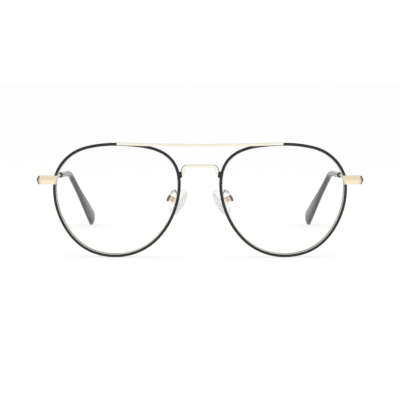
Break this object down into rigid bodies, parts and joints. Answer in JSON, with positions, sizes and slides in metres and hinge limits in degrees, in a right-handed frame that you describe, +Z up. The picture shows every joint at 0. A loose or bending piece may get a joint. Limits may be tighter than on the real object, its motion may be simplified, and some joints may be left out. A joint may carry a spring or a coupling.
{
  "type": "double bridge glasses",
  "caption": "Metal glasses with a straight top bar over a saddle bridge, rounded clear lenses, rocking nose pads and folding temples with black tips.",
  "frame": {"origin": "on the ground under the middle of the part's box, glasses open and standing on both rims and both temple tips", "axes": "x across the face towards the wearer's left, y from the front towards the ears, z up"},
  "size_m": [0.139, 0.1466, 0.0493],
  "materials": {
    "gold_metal": "pale gold plating, polished",
    "screw_metal": "gold-plated steel",
    "black_enamel": "semi-gloss black enamel",
    "black_tip": "polished black acetate",
    "clear_lens": "clear and polished",
    "clear_pad": "clear silicone, smooth",
    "clear_insert": "clear hard plastic"
  },
  "bodies": {
    "front": {"bridge": "gold_metal", "top_bar": "gold_metal", "bridge_lug_right": "black_enamel", "bridge_lug_left": "black_enamel", "rim_right": "gold_metal", "rim_left": "gold_metal", "lens_right": "clear_lens", "lens_left": "clear_lens", "enamel_upper_right": "black_enamel", "enamel_upper_left": "black_enamel", "enamel_lower_right": "black_enamel", "enamel_lower_left": "black_enamel", "endpiece_right": "gold_metal", "endpiece_left": "gold_metal", "closing_block_upper_right": "gold_metal", "closing_block_upper_left": "gold_metal", "closing_block_lower_right": "gold_metal", "closing_block_lower_left": "gold_metal", "rim_screw_right": "screw_metal", "rim_screw_left": "screw_metal", "hinge_front_right": "gold_metal", "hinge_front_left": "gold_metal", "hinge_screw_right": "screw_metal", "hinge_screw_left": "screw_metal", "pad_box_right": "gold_metal", "pad_box_left": "gold_metal", "pad_screw_right": "screw_metal", "pad_screw_left": "screw_metal", "pad_arm_right": "gold_metal", "pad_arm_left": "gold_metal"},
    "temple_right": {"hinge_temple_right": "gold_metal", "temple_right": "gold_metal", "temple_tip_right": "black_tip"},
    "temple_left": {"hinge_temple_left": "gold_metal", "temple_left": "gold_metal", "temple_tip_left": "black_tip"},
    "pad_right": {"pad_insert_right": "clear_insert", "nose_pad_right": "clear_pad"},
    "pad_left": {"pad_insert_left": "clear_insert", "nose_pad_left": "clear_pad"}
  },
  "joints": [
    {"name": "temple_fold_right", "type": "hinge", "parent": "front", "child": "temple_right", "pos_m": [-0.06616, -0.05841, 0.03277], "axis": [0, -0.0348, -0.9994], "range_deg": [0, 86]},
    {"name": "temple_fold_left", "type": "hinge", "parent": "front", "child": "temple_left", "pos_m": [0.06616, -0.05841, 0.03277], "axis": [0, 0.0348, 0.9994], "range_deg": [0, 80]},
    {"name": "pad_rock_right", "type": "hinge", "parent": "front", "child": "pad_right", "pos_m": [-0.01238, -0.06267, 0.02463], "axis": [-0.4005, 0.9045, 0.1469], "range_deg": [-8, 8]},
    {"name": "pad_rock_left", "type": "hinge", "parent": "front", "child": "pad_left", "pos_m": [0.01238, -0.06267, 0.02463], "axis": [0.4005, 0.9045, 0.1469], "range_deg": [-8, 8]}
  ]
}
